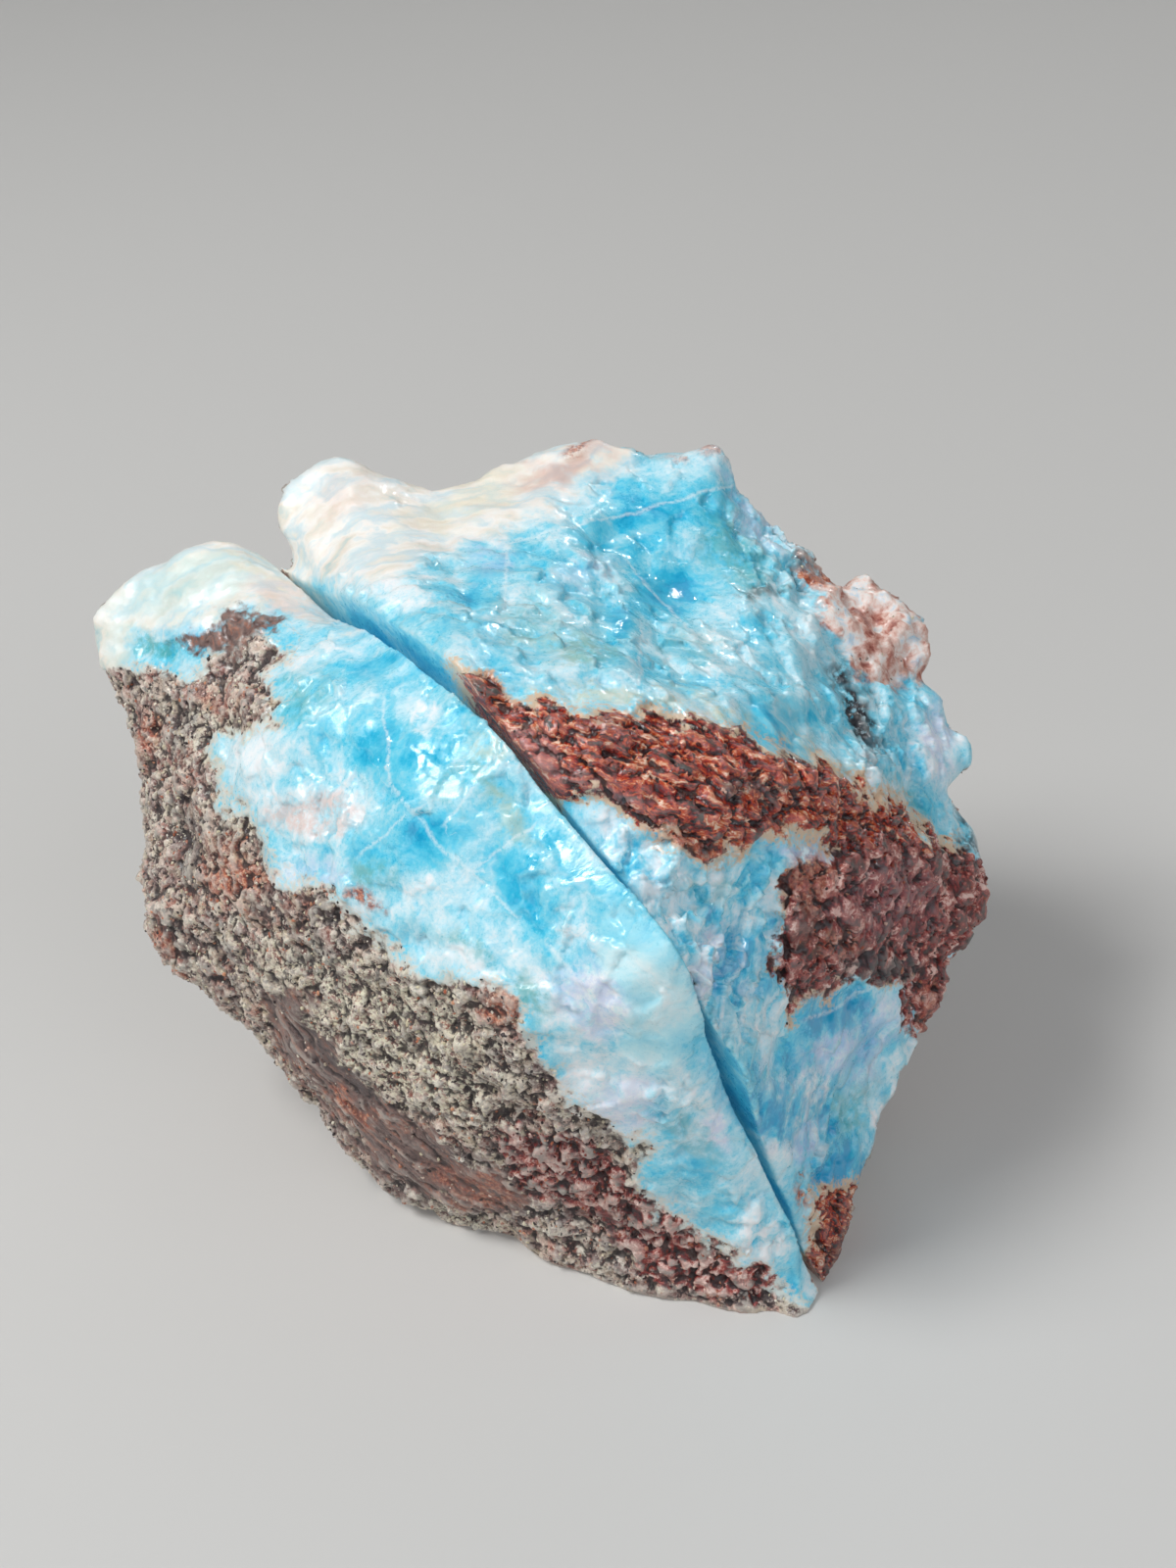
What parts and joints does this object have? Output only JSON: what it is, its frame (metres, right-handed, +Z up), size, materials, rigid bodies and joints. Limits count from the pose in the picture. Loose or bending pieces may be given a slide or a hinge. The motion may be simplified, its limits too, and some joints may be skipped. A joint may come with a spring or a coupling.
{
  "type": "raw larimar nodule sawn in two",
  "caption": "Natural blue pectolite nodule with rough basalt rind, sawn through by one flat cut, its halves standing together on a flat broken base.",
  "frame": {"origin": "Under the middle of the pair's bounding box, on the surface that it rests on", "axes": "+X to the right as the blue broken face is seen, +Y away from that viewer, +Z up"},
  "size_m": [0.0832, 0.0654, 0.0591],
  "materials": {
    "larimar": "wet-looking broken blue stone with white clouds, in a rough speckled and red-brown rind"
  },
  "bodies": {
    "root": {"front_half": "larimar", "back_half": "larimar"}
  },
  "joints": []
}
